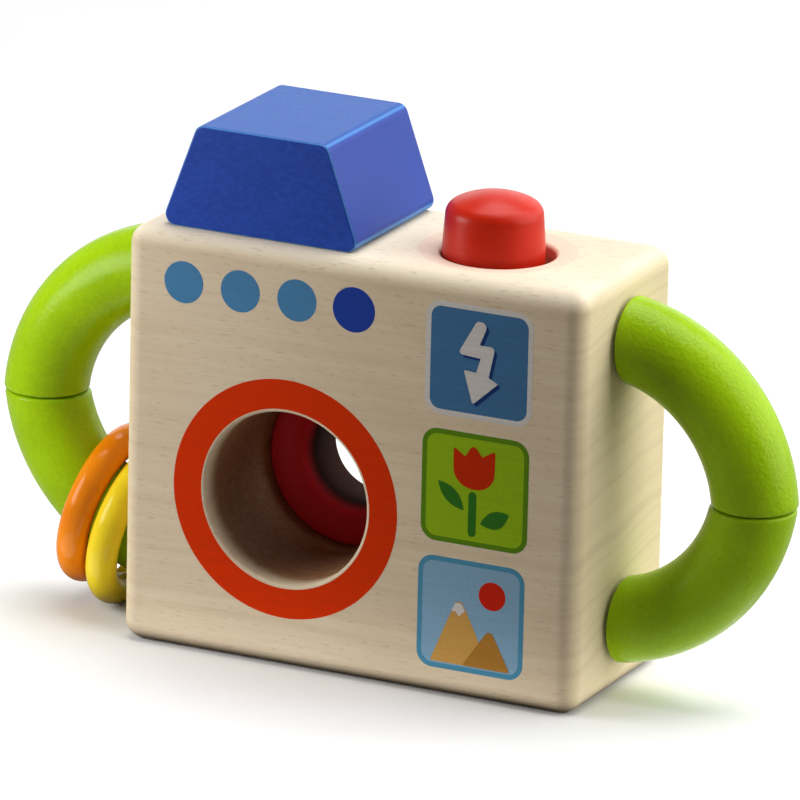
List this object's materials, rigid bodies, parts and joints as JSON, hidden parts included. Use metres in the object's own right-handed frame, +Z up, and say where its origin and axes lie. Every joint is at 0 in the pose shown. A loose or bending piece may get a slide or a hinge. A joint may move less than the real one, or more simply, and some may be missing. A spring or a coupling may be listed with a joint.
{
  "type": "toy camera",
  "caption": "Wooden pretend-play camera for a small child: block body with a see-through view hole, sprung push button, strung half-ring grip handles and loose rattle rings.",
  "frame": {"origin": "middle of the base, on the surface that the camera stands on", "axes": "+Z up, front face with the view hole towards -Y, push button on the +X side"},
  "size_m": [0.1736, 0.0428, 0.1075],
  "materials": {
    "beech": "sanded beech under clear matt lacquer",
    "blue_stain": "blue stain, satin lacquer, grain showing",
    "red_lacquer": "gloss red lacquer on turned wood",
    "crimson_lacquer": "satin crimson lacquer on turned wood",
    "green_lacquer": "satin green lacquer with fine orange peel",
    "orange_plastic": "gloss moulded plastic",
    "yellow_plastic": "gloss moulded plastic",
    "spring_wire": "drawn spring wire",
    "elastic_cord": "woven elastic cord"
  },
  "bodies": {
    "camera_body": {"body_block": "beech", "viewfinder_block": "blue_stain", "viewfinder_left_dowel": "beech", "viewfinder_right_dowel": "beech", "eyepiece_ring": "crimson_lacquer", "button_spring": "spring_wire", "button_stop_pin": "beech", "left_upper_plug": "beech", "left_lower_plug": "beech", "right_upper_plug": "beech", "right_lower_plug": "beech"},
    "button": {"shutter_button": "red_lacquer"},
    "left_handle": {"left_upper_segment": "green_lacquer", "left_lower_segment": "green_lacquer", "left_cord": "elastic_cord"},
    "right_handle": {"right_upper_segment": "green_lacquer", "right_lower_segment": "green_lacquer", "right_cord": "elastic_cord"},
    "yellow_loose_ring": {"yellow_ring": "yellow_plastic"},
    "orange_loose_ring": {"orange_ring": "orange_plastic"}
  },
  "joints": [
    {"name": "button_press", "type": "slide", "parent": "camera_body", "child": "button", "axis": [0, 0, -1], "range_m": [0, 0.005], "stiffness_N_per_m": 300, "springref_m": -0.004, "deforming": ["button_spring"]},
    {"name": "left_handle_pull", "type": "slide", "parent": "camera_body", "child": "left_handle", "axis": [-1, 0, 0], "range_m": [0, 0.004], "stiffness_N_per_m": 800, "springref_m": -0.003},
    {"name": "right_handle_pull", "type": "slide", "parent": "camera_body", "child": "right_handle", "axis": [1, 0, 0], "range_m": [0, 0.004], "stiffness_N_per_m": 800, "springref_m": -0.003},
    {"name": "yellow_ring_slide", "type": "hinge", "parent": "left_handle", "child": "yellow_loose_ring", "pos_m": [-0.0453, 0, 0.04725], "axis": [0, 1, 0], "range_deg": [0, 24]},
    {"name": "orange_ring_slide", "type": "hinge", "parent": "yellow_loose_ring", "child": "orange_loose_ring", "pos_m": [-0.0453, 0, 0.04725], "axis": [0, 1, 0], "range_deg": [0, 14]}
  ]
}
